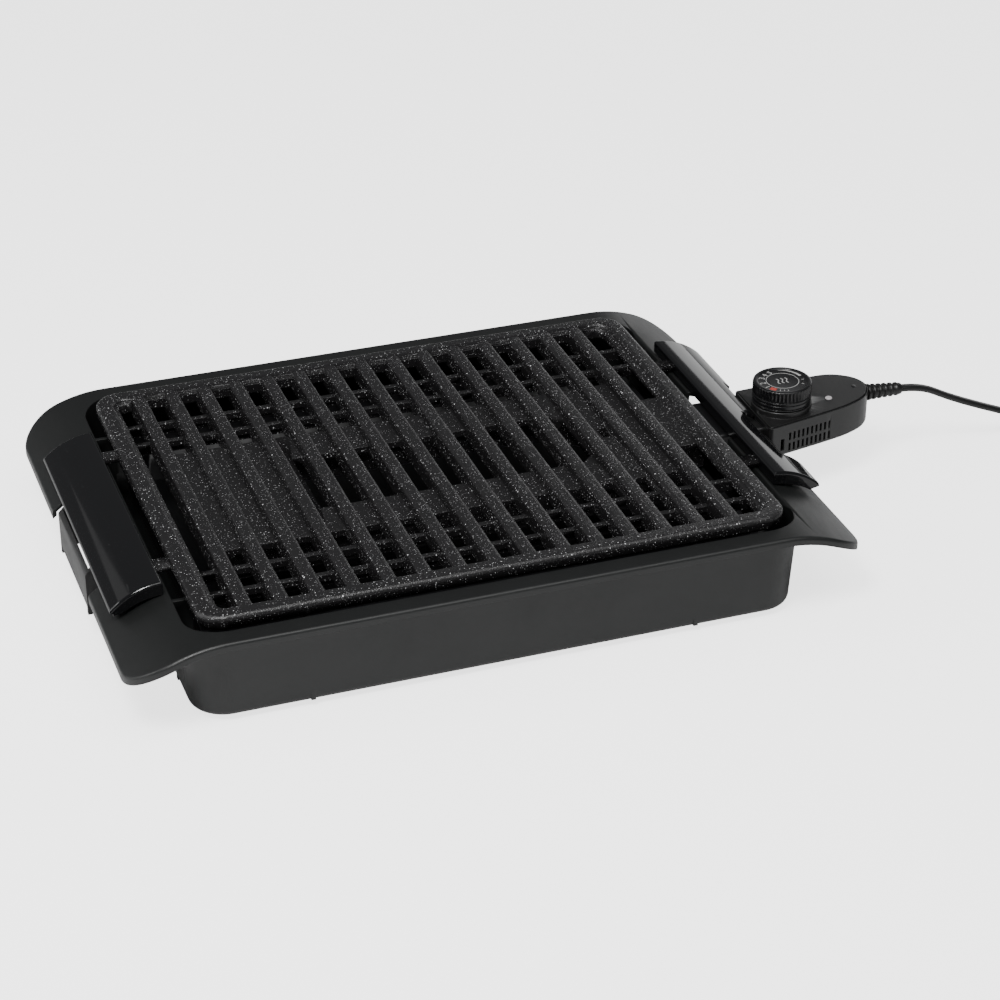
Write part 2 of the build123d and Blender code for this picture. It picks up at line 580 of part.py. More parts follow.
with BuildPart() as stack_rivet:
    with Locations((286, 0, frame_low)):
        Cylinder(1.5, 7.5, align=(Align.CENTER, Align.CENTER, Align.MIN))
        Cylinder(2.6, 0.9, align=(Align.CENTER, Align.CENTER, Align.MAX))
    with Locations((286, 0, 51)):
        Cylinder(2.6, 0.9, align=(Align.CENTER, Align.CENTER, Align.MIN))
stack_rivet.part.label = "stack_rivet"
export_step(stack_rivet.part, "parts/stack_rivet.step")

with BuildPart() as neon_lamp:
    with Locations((lamp_x, lamp_y, 50)):
        Cylinder(2, 11.5, align=(Align.CENTER, Align.CENTER, Align.MIN))
    fillet(neon_lamp.edges().group_by(Axis.Z)[-1], radius=1.6)
neon_lamp.part.label = "neon_lamp"
export_step(neon_lamp.part, "parts/neon_lamp.step")

with BuildPart() as indicator_lens:
    with Locations((lamp_x, lamp_y, probe_top - shell_wall)):
        Cylinder(2.5, shell_wall + 0.8, align=(Align.CENTER, Align.CENTER, Align.MIN))
    fillet(indicator_lens.edges().group_by(Axis.Z)[-1], radius=0.6)
indicator_lens.part.label = "indicator_lens"
export_step(indicator_lens.part, "parts/indicator_lens.step")

with BuildPart() as probe_screws:
    with Locations(*[(x, y, probe_bottom) for x, y in casing_screws]):
        Cylinder(1.3, 17, align=(Align.CENTER, Align.CENTER, Align.MIN))
        Cylinder(2.6, 1.4, align=(Align.CENTER, Align.CENTER, Align.MAX))
probe_screws.part.label = "probe_screws"
export_step(probe_screws.part, "parts/probe_screws.step")

# ---------------------------------------------------------------- temperature knob
groove_top, dial_radius, dial_sheet = 75.5, 17.2, 0.8
with BuildPart() as knob_cap:
    with BuildSketch(Plane.XY.offset(knob_bottom)):
        with Locations((knob_x, 0)):
            Circle(knob_radius)
    extrude(amount=knob_top - knob_bottom)
    fillet(knob_cap.edges().group_by(Axis.Z)[-1], radius=1.2)
    for level in (70.2, 73.2):  # grooves round the smooth lower band
        with BuildSketch(Plane.XY.offset(level)):
            with Locations((knob_x, 0)):
                Circle(knob_radius + 1)
                Circle(knob_radius - 0.9, mode=Mode.SUBTRACT)
        extrude(amount=1.3, mode=Mode.SUBTRACT)
    with BuildSketch(Plane.XY.offset(groove_top)):
        with Locations((knob_x, 0)):
            with PolarLocations(knob_radius, 48):
                Circle(0.6)
    extrude(amount=knob_top - groove_top, mode=Mode.SUBTRACT)
    with BuildSketch(Plane.XY.offset(knob_bottom)):
        with Locations((knob_x, 0)):
            Circle(knob_radius - 3)
            Circle(6, mode=Mode.SUBTRACT)
    extrude(amount=11, mode=Mode.SUBTRACT)
    with BuildSketch(Plane.XY.offset(knob_bottom)):
        with Locations((knob_x, 0)):
            Circle(rod_diameter / 2)
    extrude(amount=12, mode=Mode.SUBTRACT)
    with BuildSketch(Plane.XY.offset(knob_top - dial_sheet)):
        with Locations((knob_x, 0)):
            Circle(dial_radius)
    extrude(amount=2, mode=Mode.SUBTRACT)
knob_cap.part.label = "knob_cap"
export_step(knob_cap.part, "parts/knob_cap.step")

with BuildPart() as knob_dial:
    with Locations((knob_x, 0, knob_top - dial_sheet)):
        Cylinder(dial_radius, dial_sheet - 0.2, align=(Align.CENTER, Align.CENTER, Align.MIN))
knob_dial.part.label = "knob_dial"
export_step(knob_dial.part, "parts/knob_dial.step")

with BuildPart() as knob_spindle:
    with Locations((knob_x, 0, 50)):
        Cylinder(3, knob_bottom + 12 - 50, align=(Align.CENTER, Align.CENTER, Align.MIN))
    fillet(knob_spindle.edges().group_by(Axis.Z)[0], radius=1.5)
knob_spindle.part.label = "knob_spindle"
export_step(knob_spindle.part, "parts/knob_spindle.step")

# ---------------------------------------------------------------- lead
relief_axis = (cos(radians(relief_droop)), 0, -sin(radians(relief_droop)))
relief_start = Plane(origin=(relief_inner, relief_y, relief_z), x_dir=(0, 1, 0), z_dir=relief_axis)
rings = [(16.8 + 5.6 * k, 3.2, 5.6 - 0.15 * k) for k in range(4)]
with BuildPart() as strain_relief:  # inner flange, neck, outer flange and ribbed sleeve
    with BuildSketch(relief_start):
        RectangleRounded(13, 8, 2)
    extrude(amount=4)
    for start, length, radius in [(4, 8.3, 3.8), (12.3, 2.4, 6), (14.7, 25.3, 4.3), *rings]:
        with BuildSketch(relief_start.offset(start)):
            Circle(radius)
        extrude(amount=length)
strain_relief.part.label = "strain_relief"
export_step(strain_relief.part, "parts/strain_relief.step")

tube_radius = cord_width / 2
lead_start = Vector(relief_inner, relief_y, relief_z) + Vector(*relief_axis) * 40
lead_points = [
    tuple(lead_start), tuple(lead_start + Vector(*relief_axis) * 16), (402, 8.5, 42), (430, 7.5, 30),
    (458, 8, 18.5), (484, 14, 7.5), (510, 24, 3.6),
]
tail_points = [(533, -55, 4.2), (517, -57, 5.5), (503, -62, 8), (489, -62, 8)]


def bend_radii(points):
    """Largest arc that each corner of a route leaves room for."""
    corners = [Vector(*p) for p in points]
    radii = []
    for before, corner, after in zip(corners, corners[1:], corners[2:]):
        turn = (corner - before).get_angle(after - corner)
        radii.append(0.45 * min((corner - before).length, (after - corner).length) / tan(radians(turn) / 2))
    return radii


for name, points in (("cord", lead_points), ("cord_tail", tail_points)):
    radii = bend_radii(points)
    with BuildPart() as tube:
        with BuildLine():
            path = FilletPolyline(*points, radius=radii)
        with BuildSketch(Plane(origin=path @ 0, z_dir=path % 0)):
            Circle(tube_radius)
        sweep()
    tube.part.label = name
    export_step(tube.part, f"parts/{name}.step")
    filled = tube.part.volume / (pi * tube_radius**2 * path.length)
    print(name, "radii", [round(r) for r in radii], "length", round(path.length, 1), "filled", round(filled, 4))
print("coil length", round(2 * pi * coil_radius * coil_turns, 1))

coil_low, coil_height, coil_half = 0.8, 9.6, 7.2
with BuildPart() as cord_coil:
    with BuildSketch(Plane.XY.offset(coil_low)):
        with Locations((coil_x, coil_y)):
            Circle(coil_radius + coil_half)
            Circle(coil_radius - coil_half, mode=Mode.SUBTRACT)
    extrude(amount=coil_height)
    fillet(cord_coil.edges(), radius=2)
cord_coil.part.label = "cord_coil"
export_step(cord_coil.part, "parts/cord_coil.step")

with BuildPart() as cord_tie:  # strap round the turns at the coil's right-hand side
    with BuildSketch(Plane.XZ.offset(-coil_y - 2.5)):
        with Locations((coil_x + coil_radius, coil_low + coil_height / 2)):
            RectangleRounded(2 * coil_half + 1.5, coil_height + 1.5, 2.6)
            RectangleRounded(2 * coil_half + 0.3, coil_height + 0.3, 2, mode=Mode.SUBTRACT)
    extrude(amount=5)
cord_tie.part.label = "cord_tie"
export_step(cord_tie.part, "parts/cord_tie.step")

plug_z, plug_y, plug_back, plug_face = 8, -62, 489, 458
with BuildPart() as plug_body:
    with BuildSketch(Plane.YZ.offset(plug_face)):
        with Locations((plug_y, plug_z)):
            RectangleRounded(25, 15, 6)
    extrude(amount=18)
    with BuildSketch(Plane.YZ.offset(plug_face + 18)) as shoulder:
        with Locations((plug_y, plug_z)):
            RectangleRounded(25, 15, 6)
    with BuildSketch(Plane.YZ.offset(plug_back)) as neck:
        with Locations((plug_y, plug_z)):
            RectangleRounded(11, 9, 4)
    loft([shoulder.sketch, neck.sketch])
    fillet(plug_body.edges().group_by(Axis.X)[0], radius=1.5)
plug_body.part.label = "plug_body"
export_step(plug_body.part, "parts/plug_body.step")

blade_length, blade_width, blade_sheet, blade_spacing = 17, 6.35, 1.5, 12.7
with BuildPart() as plug_blades:
    for side in (-1, 1):
        with Locations((plug_face - blade_length / 2, plug_y + side * blade_spacing / 2, plug_z)):
            Box(blade_length, blade_sheet, blade_width)
    chamfer(plug_blades.edges().group_by(Axis.X)[0].filter_by(Axis.Z), length=0.5)
plug_blades.part.label = "plug_blades"
export_step(plug_blades.part, "parts/plug_blades.step")
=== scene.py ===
# Slotted electric table grill with a plug-in thermostat. Metres, +X to the thermostat, +Y to the back.
import json
import math

import bmesh
import bpy
from mathutils import Matrix, Vector

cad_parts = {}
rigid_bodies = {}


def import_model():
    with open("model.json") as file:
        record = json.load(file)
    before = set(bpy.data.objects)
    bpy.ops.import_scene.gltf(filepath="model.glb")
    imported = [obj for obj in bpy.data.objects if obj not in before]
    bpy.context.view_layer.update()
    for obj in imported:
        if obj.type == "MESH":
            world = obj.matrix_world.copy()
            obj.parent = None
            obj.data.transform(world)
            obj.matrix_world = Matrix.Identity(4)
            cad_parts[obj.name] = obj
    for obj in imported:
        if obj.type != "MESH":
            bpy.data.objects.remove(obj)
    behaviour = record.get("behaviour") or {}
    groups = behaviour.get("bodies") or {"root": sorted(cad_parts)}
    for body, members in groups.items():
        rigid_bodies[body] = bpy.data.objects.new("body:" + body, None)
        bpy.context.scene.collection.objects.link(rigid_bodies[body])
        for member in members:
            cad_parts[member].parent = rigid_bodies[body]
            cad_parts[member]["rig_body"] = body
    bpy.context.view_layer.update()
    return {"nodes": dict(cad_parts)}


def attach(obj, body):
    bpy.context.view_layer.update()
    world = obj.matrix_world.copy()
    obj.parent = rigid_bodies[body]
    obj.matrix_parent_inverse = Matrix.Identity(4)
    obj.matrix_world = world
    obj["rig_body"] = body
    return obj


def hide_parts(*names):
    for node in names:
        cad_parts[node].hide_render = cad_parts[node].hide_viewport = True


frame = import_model()
nodes = frame["nodes"]
print("frame loaded:", len(nodes), "nodes")

# camera
camera = {
    "place": (-0.4966, -1.5489, 0.9674), "azimuth": -19.5, "elevation": 29.79, "lens": 98.48, "sensor": 36,
    "reach": 20,
}
cameraData = bpy.data.cameras.new("camera")
cameraData.lens = camera["lens"]
cameraData.sensor_width = camera["sensor"]
cameraData.clip_end = camera["reach"]
cameraObject = bpy.data.objects.new("camera", cameraData)
bpy.context.collection.objects.link(cameraObject)
cameraObject.location = camera["place"]
cameraObject.rotation_euler = (math.radians(90 - camera["elevation"]), 0, math.radians(camera["azimuth"]))
bpy.context.scene.camera = cameraObject
print("camera ready")


# node trees
def addNode(tree, kind, inputs=None, **settings):
    node = tree.nodes.new("ShaderNode" + kind)
    for key, value in settings.items():
        setattr(node, key, value)
    for key, value in (inputs or {}).items():
        if isinstance(value, bpy.types.NodeSocket):
            tree.links.new(value, node.inputs[key])
        else:
            node.inputs[key].default_value = value
    return node


def mathNode(tree, operation, a, b=0.0, clamp=False):
    return addNode(tree, "Math", {0: a, 1: b}, operation=operation, use_clamp=clamp).outputs[0]


def startGroup(name, inputs, outputs):
    group = bpy.data.node_groups.new(name, "ShaderNodeTree")
    group.interface.new_socket("Vector", in_out="INPUT", socket_type="NodeSocketVector")
    for label, default in inputs.items():
        socket = group.interface.new_socket(label, in_out="INPUT", socket_type="NodeSocketFloat")
        socket.default_value = default
    for label in outputs:
        group.interface.new_socket(label, in_out="OUTPUT", socket_type="NodeSocketFloat")
    return group, group.nodes.new("NodeGroupInput").outputs, group.nodes.new("NodeGroupOutput")


def finishGroup(group, target, **values):
    for label, socket in values.items():
        group.links.new(socket, target.inputs[label])
    return group


speck = {  # how far the cells wander, and the spread of size and tone
    "wander": 1500, "shift": 0.0002, "sizes": (0.45, 0.55), "blur": 0.03, "tones": (0.1, 0.9), "contrast": 3,
}


def makeFlecks():  # scattered round specks of uneven size and tone
    group, given, target = startGroup("flecks", {"Scale": 400, "Size": 0.12, "Share": 0.5}, ["Mask", "Tone"])
    wobble = addNode(group, "TexNoise", {"Vector": given["Vector"], "Scale": speck["wander"], "Detail": 1})
    shift = addNode(
        group, "VectorMath", {0: wobble.outputs["Color"], "Scale": speck["shift"]}, operation="SCALE"
    )
    place = addNode(group, "VectorMath", {0: given["Vector"], 1: shift.outputs[0]}, operation="ADD")
    cells = addNode(group, "TexVoronoi", {"Vector": place.outputs[0], "Scale": given["Scale"]})
    chance = addNode(group, "SeparateColor", {0: cells.outputs["Color"]}).outputs
    sizeSpread = mathNode(group, "MULTIPLY", chance[1], speck["sizes"][1])
    reach = mathNode(group, "MULTIPLY", given["Size"], mathNode(group, "ADD", sizeSpread, speck["sizes"][0]))
    spot = mathNode(
        group, "DIVIDE", mathNode(group, "SUBTRACT", reach, cells.outputs["Distance"]), speck["blur"],
        clamp=True
    )
    shown = mathNode(group, "LESS_THAN", chance[0], given["Share"])
    toneSpread = mathNode(
        group, "MULTIPLY", mathNode(group, "POWER", chance[2], speck["contrast"]), speck["tones"][1]
    )
    tone = mathNode(group, "ADD", toneSpread, speck["tones"][0])
    return finishGroup(group, target, Mask=mathNode(group, "MULTIPLY", spot, shown), Tone=tone)


surfaceNoise = {
    "fineShare": 0.4, "slowShare": 0.6, "hazeFrom": 0.42, "hazeTo": 0.72, "smearStretch": (1, 0.35, 1),
}


def makeGrain():  # fine moulded or sprayed surface, with a slow drift in tone
    group, given, target = startGroup("grain", {"Scale": 1500, "Drift": 14}, ["Height", "Tone"])
    fine = addNode(
        group, "TexNoise", {"Vector": given["Vector"], "Scale": given["Scale"], "Detail": 3, "Roughness": 0.6}
    )
    slow = addNode(
        group, "TexNoise",
        {"Vector": given["Vector"], "Scale": given["Drift"], "Detail": 4, "Roughness": 0.55}
    )
    finePart = mathNode(group, "MULTIPLY", fine.outputs[0], surfaceNoise["fineShare"])
    slowPart = mathNode(group, "MULTIPLY", slow.outputs[0], surfaceNoise["slowShare"])
    return finishGroup(group, target, Height=fine.outputs[0], Tone=mathNode(group, "ADD", finePart, slowPart))


def makeHandling():  # faint smears and settled dust that change the gloss
    group, given, target = startGroup("handling", {"Scale": 22}, ["Haze"])
    stretched = addNode(group, "Mapping", {"Vector": given["Vector"], "Scale": surfaceNoise["smearStretch"]})
    streaks = {"Detail": 5, "Roughness": 0.7, "Distortion": 0.6}
    smear = addNode(group, "TexNoise", {"Vector": stretched.outputs[0], "Scale": given["Scale"], **streaks})
    haze = addNode(
        group, "MapRange", {0: smear.outputs[0], 1: surfaceNoise["hazeFrom"], 2: surfaceNoise["hazeTo"]}
    )
    return finishGroup(group, target, Haze=haze.outputs[0])


def placeGroup(tree, group, **values):
    node = addNode(tree, "Group", node_tree=group)
    for label, value in values.items():
        if isinstance(value, bpy.types.NodeSocket):
            tree.links.new(value, node.inputs[label])
        else:
            node.inputs[label].default_value = value
    return node.outputs


flecks, grain, handling = makeFlecks(), makeGrain(), makeHandling()


def startMaterial(name, **shine):
    material = bpy.data.materials.new(name)
    material.use_nodes = True
    tree = material.node_tree
    surface = tree.nodes["Principled BSDF"]
    for label, value in shine.items():
        surface.inputs[label].default_value = value
    return material, tree, surface, tree.nodes.new("ShaderNodeTexCoord").outputs["Object"]


def toned(tree, colour, lift, tone):  # the colour, up to lift times as light where tone is 1
    low = tuple(c / lift for c in colour) + (1,)
    high = tuple(min(1, c * lift) for c in colour) + (1,)
    return addNode(tree, "Mix", {0: tone, 6: low, 7: high}, data_type="RGBA").outputs[2]


usual = {"drift": 14, "smear": 22, "edge": 0.0006}  # what a look has unless it says otherwise
bevelSamples = 4


def grained(name, ownLook, **shine):
    look = {**usual, **ownLook}
    material, tree, surface, place = startMaterial(name, **shine)
    skin = placeGroup(tree, grain, Vector=place, Scale=look["scale"], Drift=look["drift"])
    haze = placeGroup(tree, handling, Vector=place, Scale=look["smear"])[0]
    tree.links.new(toned(tree, look["colour"], look["lift"], skin["Tone"]), surface.inputs["Base Color"])
    gloss = addNode(tree, "MapRange", {0: haze, 3: look["roughness"][0], 4: look["roughness"][1]})
    tree.links.new(gloss.outputs[0], surface.inputs["Roughness"])
    # no moulded edge is quite sharp
    edge = addNode(tree, "Bevel", {"Radius": look["edge"]}, samples=bevelSamples)
    bump = addNode(
        tree, "Bump",
        {"Height": skin["Height"], "Distance": look["bump"], "Strength": 1, "Normal": edge.outputs[0]}
    )
    tree.links.new(bump.outputs[0], surface.inputs["Normal"])
    return material


looks = {
    "baseBlack": {
        "colour": (0.0062, 0.0068, 0.0066), "lift": 1.3, "scale": 2600, "bump": 0.00005,
        "roughness": (0.4, 0.5), "edge": 0.0009,
    },
    "trayEnamel": {
        "colour": (0.006, 0.006, 0.0065), "lift": 1.2, "scale": 700, "bump": 0.00004,
        "roughness": (0.28, 0.4),
    },
    "handleGloss": {
        "colour": (0.004, 0.004, 0.0045), "lift": 1.1, "scale": 260, "bump": 0.000006,
        "roughness": (0.05, 0.1),
    },
    "handleMatte": {
        "colour": (0.006, 0.006, 0.006), "lift": 1.25, "scale": 2600, "bump": 0.00005,
        "roughness": (0.45, 0.55),
    },
    "probeSatin": {
        "colour": (0.0095, 0.0095, 0.0095), "lift": 1.35, "scale": 2200, "bump": 0.00004,
        "roughness": (0.3, 0.42),
    },
    "knobSatin": {
        "colour": (0.005, 0.005, 0.0055), "lift": 1.2, "scale": 1800, "bump": 0.00002,
        "roughness": (0.26, 0.36),
    },
    "flexVinyl": {
        "colour": (0.007, 0.007, 0.007), "lift": 1.3, "scale": 1400, "bump": 0.00003,
        "roughness": (0.36, 0.5),
    },
    "footRubber": {
        "colour": (0.02, 0.02, 0.02), "lift": 1.3, "scale": 1800, "bump": 0.00006, "roughness": (0.7, 0.85),
    },
    "steatite": {
        "colour": (0.16, 0.13, 0.105), "lift": 1.08, "scale": 1800, "bump": 0.00004, "roughness": (0.5, 0.65),
    },
    "dialWhite": {
        "colour": (0.5, 0.5, 0.49), "lift": 1.06, "scale": 2500, "bump": 0.00001, "roughness": (0.4, 0.5),
    },
    "dialRed": {
        "colour": (0.42, 0.05, 0.035), "lift": 1.1, "scale": 2500, "bump": 0.00001, "roughness": (0.4, 0.5),
    },
    "lensPale": {
        "colour": (0.52, 0.49, 0.5), "lift": 1.08, "scale": 900, "bump": 0.00001, "roughness": (0.18, 0.25),
    },
}
plain = {name: grained(name, look) for name, look in looks.items()}

metals = {
    "sheetZinc": {
        "colour": (0.5, 0.5, 0.51), "lift": 1.12, "scale": 900, "bump": 0.00001, "roughness": (0.28, 0.42),
        "smear": 60,
    },
    "rodSteel": {
        "colour": (0.55, 0.54, 0.53), "lift": 1.08, "scale": 1600, "bump": 0.000008, "roughness": (0.2, 0.32),
        "smear": 60,
    },
    "elementSheath": {
        "colour": (0.14, 0.125, 0.11), "lift": 1.35, "scale": 900, "bump": 0.00002, "roughness": (0.42, 0.6),
    },
    "pinNickel": {
        "colour": (0.68, 0.66, 0.6), "lift": 1.06, "scale": 1400, "bump": 0.000006, "roughness": (0.12, 0.22),
    },
    "contactBrass": {
        "colour": (0.72, 0.52, 0.24), "lift": 1.1, "scale": 1400, "bump": 0.000008, "roughness": (0.2, 0.34),
    },
    "sleeveAluminium": {
        "colour": (0.62, 0.62, 0.63), "lift": 1.08, "scale": 1200, "bump": 0.00001, "roughness": (0.3, 0.42),
    },
}
plain.update({name: grained(name, look, Metallic=1) for name, look in metals.items()})

coating = {
    "charcoal": (0.0098, 0.0094, 0.0098), "lift": 1.45, "fleck": (0.85, 0.85, 0.86),
    # cells per metre, size and share of specks
    "layers": [(410, 0.25, 0.6), (660, 0.26, 0.48), (1000, 0.27, 0.35)],
    "roughness": 0.27, "fleckRoughness": 0.16, "peel": 900, "peelDrift": 30, "peelDepth": 0.0004,
    "fleckRise": 0.0001, "edge": 0.0012,
}


def makeCoating():  # speckled stone-look non-stick over a cast surface
    material, tree, surface, place = startMaterial("stoneCoating")
    skin = placeGroup(tree, grain, Vector=place, Scale=coating["peel"], Drift=coating["peelDrift"])
    colour, cover = toned(tree, coating["charcoal"], coating["lift"], skin["Tone"]), None
    for scale, size, share in coating["layers"]:
        layer = placeGroup(tree, flecks, Vector=place, Scale=scale, Size=size, Share=share)
        strength = mathNode(tree, "MULTIPLY", layer["Mask"], layer["Tone"])
        colour = addNode(
            tree, "Mix", {0: strength, 6: colour, 7: coating["fleck"] + (1,)}, data_type="RGBA"
        ).outputs[2]
        cover = strength if cover is None else mathNode(tree, "MAXIMUM", cover, strength)
    tree.links.new(colour, surface.inputs["Base Color"])
    gloss = addNode(tree, "MapRange", {0: cover, 3: coating["roughness"], 4: coating["fleckRoughness"]})
    tree.links.new(gloss.outputs[0], surface.inputs["Roughness"])
    edge = addNode(tree, "Bevel", {"Radius": coating["edge"]}, samples=bevelSamples)
    peel = addNode(
        tree, "Bump",
        {"Height": skin["Height"], "Distance": coating["peelDepth"], "Strength": 1, "Normal": edge.outputs[0]}
    )
    rise = addNode(
        tree, "Bump",
        {"Height": cover, "Distance": coating["fleckRise"], "Strength": 1, "Normal": peel.outputs[0]}
    )
    tree.links.new(rise.outputs[0], surface.inputs["Normal"])
    return material


stoneCoating = makeCoating()

amberGlass = {"Base Color": (0.8, 0.45, 0.3, 1), "Transmission Weight": 0.9, "Roughness": 0.08}
lampGlass = startMaterial("lampGlass", **amberGlass)[0]
print("materials ready")

nodeFinish = {
    "baseBlack": ["base_shell"], "footRubber": ["rubber_feet"], "trayEnamel": ["drip_tray", "terminal_guard"],
    "elementSheath": ["heating_element"],
    "sheetZinc": [
        "element_cover", "element_cover_screws", "handle_screws", "cover_screws", "thermostat_frame",
        "probe_screws",
    ],
    "pinNickel": ["terminal_pins"], "steatite": ["terminal_insulators", "ceramic_spacers"],
    "sleeveAluminium": ["sensor_sleeve"],
    "handleGloss": ["left_handle_cover", "right_handle_cover"],
    "handleMatte": ["left_handle_body", "right_handle_body"],
    "probeSatin": ["probe_lower_shell", "probe_upper_shell", "contact_block"],
    "contactBrass": ["female_contacts", "contact_leaf", "stack_rivet", "plug_blades"],
    "rodSteel": ["sensor_rod", "bimetal_blade", "knob_spindle"], "lensPale": ["indicator_lens"],
    "knobSatin": ["knob_cap", "knob_dial", "cord_tie"],
    "flexVinyl": ["strain_relief", "cord", "cord_tail", "cord_coil", "plug_body"],
}
finishOf = {node: plain[finish] for finish, members in nodeFinish.items() for node in members}
finishOf["grill_plate"] = stoneCoating
finishOf["neon_lamp"] = lampGlass
for name, piece in nodes.items():
    piece.data.materials.clear()
    piece.data.materials.append(finishOf[name])


# pieces
def addPiece(name, mesh, material, body, sharpAngle=35):
    mesh.materials.clear()
    mesh.materials.append(material)
    mesh.shade_smooth()
    mesh.set_sharp_from_angle(angle=math.radians(sharpAngle))
    piece = bpy.data.objects.new(name, mesh)
    bpy.context.collection.objects.link(piece)
    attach(piece, body)
    return piece


def meshFrom(name, shape, outward=True):
    if outward:
        bmesh.ops.recalc_face_normals(shape, faces=shape.faces)
    mesh = bpy.data.meshes.new(name)
    shape.to_mesh(mesh)
    shape.free()
    return mesh


def lathe(profile, steps, centre=(0, 0, 0)):  # turns (radius, height) pairs about a vertical axis
    shape = bmesh.new()
    points = [shape.verts.new((centre[0] + r, centre[1], centre[2] + z)) for r, z in profile]
    edges = [shape.edges.new(pair) for pair in zip(points, points[1:])]
    bmesh.ops.spin(
        shape, geom=points + edges, cent=centre, axis=(0, 0, 1), angle=2 * math.pi, steps=steps,
        use_merge=True
    )
    bmesh.ops.remove_doubles(shape, verts=shape.verts, dist=1e-6)
    return shape


# lead
lead = {
    "start": (0.322, 0.009, 0.0579), "droop": 3, "sleeve": 0.040, "straight": 0.016,
    "fall": [
        (0.402, 0.0085, 0.042), (0.430, 0.0075, 0.030), (0.458, 0.008, 0.0185), (0.484, 0.014, 0.0075),
        (0.510, 0.024, 0.0036),
    ],
    "coilCentre": (0.535, -0.015), "turns": 2.5, "perTurn": 16, "outer": 0.0436, "step": 0.0071,
    "level": 0.0036, "rise": 0.0052,
    "tail": [(0.517, -0.057, 0.0055), (0.503, -0.062, 0.008), (0.489, -0.062, 0.008)],
    # first degree, step and points round one core
    "width": 0.0068, "core": 0.00232, "coreArc": (-107, 21.4, 11),
}
leadAxis = Vector((math.cos(math.radians(lead["droop"])), 0, -math.sin(math.radians(lead["droop"]))))


def leadRoute():
    sleeveEnd = Vector(lead["start"]) + leadAxis * lead["sleeve"]
    points = [sleeveEnd, sleeveEnd + leadAxis * lead["straight"]] + [Vector(p) for p in lead["fall"]]
    steps = int(lead["turns"] * lead["perTurn"])
    for i in range(1, steps):  # clockwise: the outer turn, then the inner, and the last half turn on top
        turn = i / lead["perTurn"]
        angle = math.pi / 2 - 2 * math.pi * turn
        inward = min(1, max(0, (turn - 0.75) / 0.5))
        upward = min(1, max(0, (turn - 1.75) / 0.3))
        radius = lead["outer"] - lead["step"] * inward * (1 - 0.5 * upward)
        centreX, centreY = lead["coilCentre"]
        height = lead["level"] + lead["rise"] * upward
        points.append(
            Vector((centreX + radius * math.cos(angle), centreY + radius * math.sin(angle), height))
        )
    return points + [Vector(p) for p in lead["tail"]]


def splineObject(name, points):
    curve = bpy.data.curves.new(name, "CURVE")
    curve.dimensions = "3D"
    curve.twist_mode = "Z_UP"
    curve.use_fill_caps = True
    spline = curve.splines.new("NURBS")
    spline.points.add(len(points) - 1)
    for point, place in zip(spline.points, points):
        point.co = (*place, 1)
    spline.order_u = 3
    spline.use_endpoint_u = True
    spline.resolution_u = 8
    thread = bpy.data.objects.new(name, curve)
    bpy.context.collection.objects.link(thread)
    return thread


def meshOf(thread):
    bpy.context.view_layer.update()
    return bpy.data.meshes.new_from_object(thread.evaluated_get(bpy.context.evaluated_depsgraph_get()))


def twoCoreProfile():  # section of a flat two-core flex: two round cores and the groove between them
    half = lead["width"] / 2 - lead["core"]
    first, step, count = lead["coreArc"]
    curve = bpy.data.curves.new("flexSection", "CURVE")
    curve.dimensions = "2D"
    section = curve.splines.new("POLY")
    ring = []
    for side in (1, -1):
        for k in range(count):
            angle = math.radians(first + step * k) + (0 if side > 0 else math.pi)
            ring.append((side * half + lead["core"] * math.cos(angle), lead["core"] * math.sin(angle)))
    section.points.add(len(ring) - 1)
    for point, (x, y) in zip(section.points, ring):
        point.co = (x, y, 0, 1)
    section.use_cyclic_u = True
    return bpy.data.objects.new("flexSection", curve)


thread = splineObject("leadThread", leadRoute())
threadMesh = meshOf(thread)
leadPath = [tuple(v.co) for v in threadMesh.vertices]
section = twoCoreProfile()
thread.data.bevel_mode = "OBJECT"
thread.data.bevel_object = section
flexMesh = meshOf(thread)
flexMesh.name = "flex"
bpy.data.objects.remove(thread)
bpy.data.objects.remove(section)
flex = addPiece("flex", flexMesh, plain["flexVinyl"], "thermostat", 60)
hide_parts("cord", "cord_coil", "cord_tail")
leadLength = sum((Vector(a) - Vector(b)).length for a, b in zip(leadPath, leadPath[1:]))
print("lead", round(leadLength, 3), "m")

# moulded and cast skins: merged copies of the shells, with smooth curves and crisp edges
skins = {
    "base_shell": "base_plastic", "drip_tray": "tray_metal", "grill_plate": "nonstick_cast",
    "left_handle_cover": "handle_gloss", "right_handle_cover": "handle_gloss",
    "left_handle_body": "handle_matte", "right_handle_body": "handle_matte",
    "probe_lower_shell": "probe_plastic", "probe_upper_shell": "probe_plastic",
}
skinMesh = {"weld": 2e-6, "sharpAngle": 28, "weight": 80}
for name, slot in skins.items():
    shape = bmesh.new()
    shape.from_mesh(nodes[name].data)
    bmesh.ops.remove_doubles(shape, verts=shape.verts, dist=skinMesh["weld"])
    mesh = meshFrom(name + "_skin", shape, outward=False)
    skin = addPiece(
        name + "_skin", mesh, finishOf[name], nodes[name]["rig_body"], skinMesh["sharpAngle"]
    )
    even = skin.modifiers.new("even", "WEIGHTED_NORMAL")
    even.keep_sharp = True
    even.weight = skinMesh["weight"]
    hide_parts(name)
print("skins ready")

